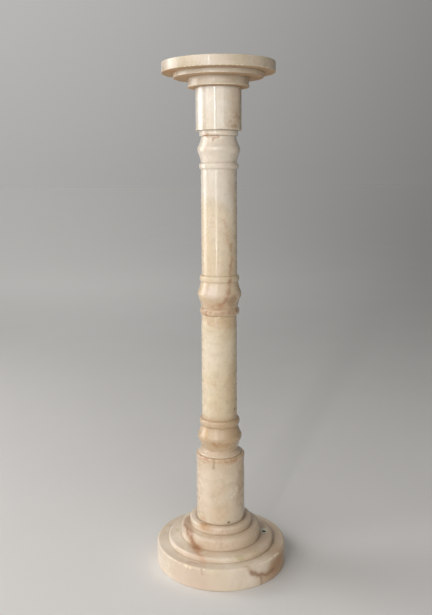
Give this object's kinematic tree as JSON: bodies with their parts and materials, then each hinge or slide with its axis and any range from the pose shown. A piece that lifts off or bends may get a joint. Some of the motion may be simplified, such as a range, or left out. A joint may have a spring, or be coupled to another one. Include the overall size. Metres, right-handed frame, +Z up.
{
  "type": "turned stone pedestal column",
  "caption": "Slender turned stone pedestal with a stepped round base, plain shafts with angular knops, and a stepped round top for a plant, vase or bust.",
  "frame": {"origin": "middle of the underside, on the floor", "axes": "+Z up along the axis of the column"},
  "size_m": [0.258, 0.258, 1],
  "materials": {
    "base_stone": "polished, rust veins",
    "lower_drum_stone": "polished",
    "lower_shaft_stone": "polished",
    "upper_shaft_stone": "polished",
    "upper_drum_stone": "polished, whiter than the rest",
    "capital_stone": "polished, chipped lower edge"
  },
  "bodies": {
    "root": {"base": "base_stone", "lower_drum": "lower_drum_stone", "lower_shaft": "lower_shaft_stone", "upper_shaft": "upper_shaft_stone", "upper_drum": "upper_drum_stone", "capital": "capital_stone"}
  },
  "joints": []
}
